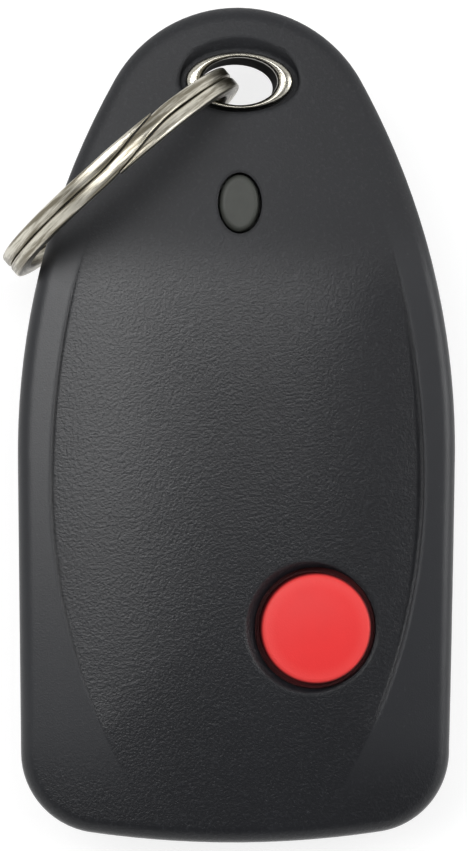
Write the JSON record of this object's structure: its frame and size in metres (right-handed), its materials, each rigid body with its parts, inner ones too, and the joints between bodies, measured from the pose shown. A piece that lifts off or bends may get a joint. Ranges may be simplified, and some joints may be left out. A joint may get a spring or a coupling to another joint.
{
  "type": "key fob transmitter",
  "caption": "Tapered two-part key fob transmitter with one round button, an oval status light, a metal eyelet and a split ring, and the switch, board and coin cell inside.",
  "frame": {"origin": "on the flat rear face, on the centre line, at the height where the case is widest", "axes": "+X to the right seen from the button side, +Y towards the eyelet end, +Z out of the button face"},
  "size_m": [0.0354, 0.065, 0.0229],
  "materials": {
    "case_front": "fine spark texture",
    "case_rear": "fine spark texture",
    "button_red": "satin",
    "lens_smoke": "polished, smoky",
    "lamp_red": "polished, tinted",
    "nickel_liner": "nickel plated",
    "nickel_ring": "nickel plated, drawn wire",
    "board_green": "solder resist on glass fibre",
    "switch_black": "moulded",
    "switch_steel": "stamped",
    "plunger_black": "moulded",
    "spring_steel": "rolled",
    "tinned_leads": "tinned",
    "chip_black": "moulded epoxy",
    "can_steel": "drawn and plated",
    "trimmer_cream": "ceramic",
    "rotor_brass": "turned",
    "capacitor_amber": "moulded",
    "component_ceramic": "ceramic, tinned ends",
    "cell_steel": "nickel plated",
    "holder_black": "moulded",
    "contact_metal": "nickel plated",
    "screw_steel": "zinc plated"
  },
  "bodies": {
    "case": {"front_cover": "case_front", "rear_cover": "case_rear", "led_lens": "lens_smoke", "status_led": "lamp_red", "eyelet_liner": "nickel_liner", "circuit_board": "board_green", "switch_base": "switch_black", "switch_cover": "switch_steel", "switch_dome": "spring_steel", "switch_leads": "tinned_leads", "encoder_chip": "chip_black", "encoder_leads": "tinned_leads", "saw_resonator": "can_steel", "trimmer_base": "trimmer_cream", "trimmer_rotor": "rotor_brass", "rf_transistor": "chip_black", "supply_capacitor": "capacitor_amber", "chip_components": "component_ceramic", "battery_cell": "cell_steel", "battery_holder": "holder_black", "battery_clip_positive": "contact_metal", "battery_contact_negative": "contact_metal", "case_screws": "screw_steel"},
    "button": {"button_cap": "button_red"},
    "plunger": {"switch_plunger": "plunger_black"},
    "ring": {"split_ring": "nickel_ring"}
  },
  "joints": [
    {"name": "button_press", "type": "slide", "parent": "case", "child": "button", "axis": [0, 0, -1], "range_m": [0, 0.0003], "stiffness_N_per_m": 1000, "springref_m": -0.0003},
    {"name": "plunger_press", "type": "slide", "parent": "case", "child": "plunger", "axis": [0, 0, -1], "range_m": [0, 0.0003], "deforming": ["switch_dome"]},
    {"name": "ring_swing", "type": "hinge", "parent": "case", "child": "ring", "pos_m": [-0.001, 0.02862, 0.00975], "axis": [0, 0, -1], "range_deg": [0, 250]}
  ],
  "couplings": [
    {"joint": "plunger_press", "follows": "button_press", "ratio": 1}
  ]
}
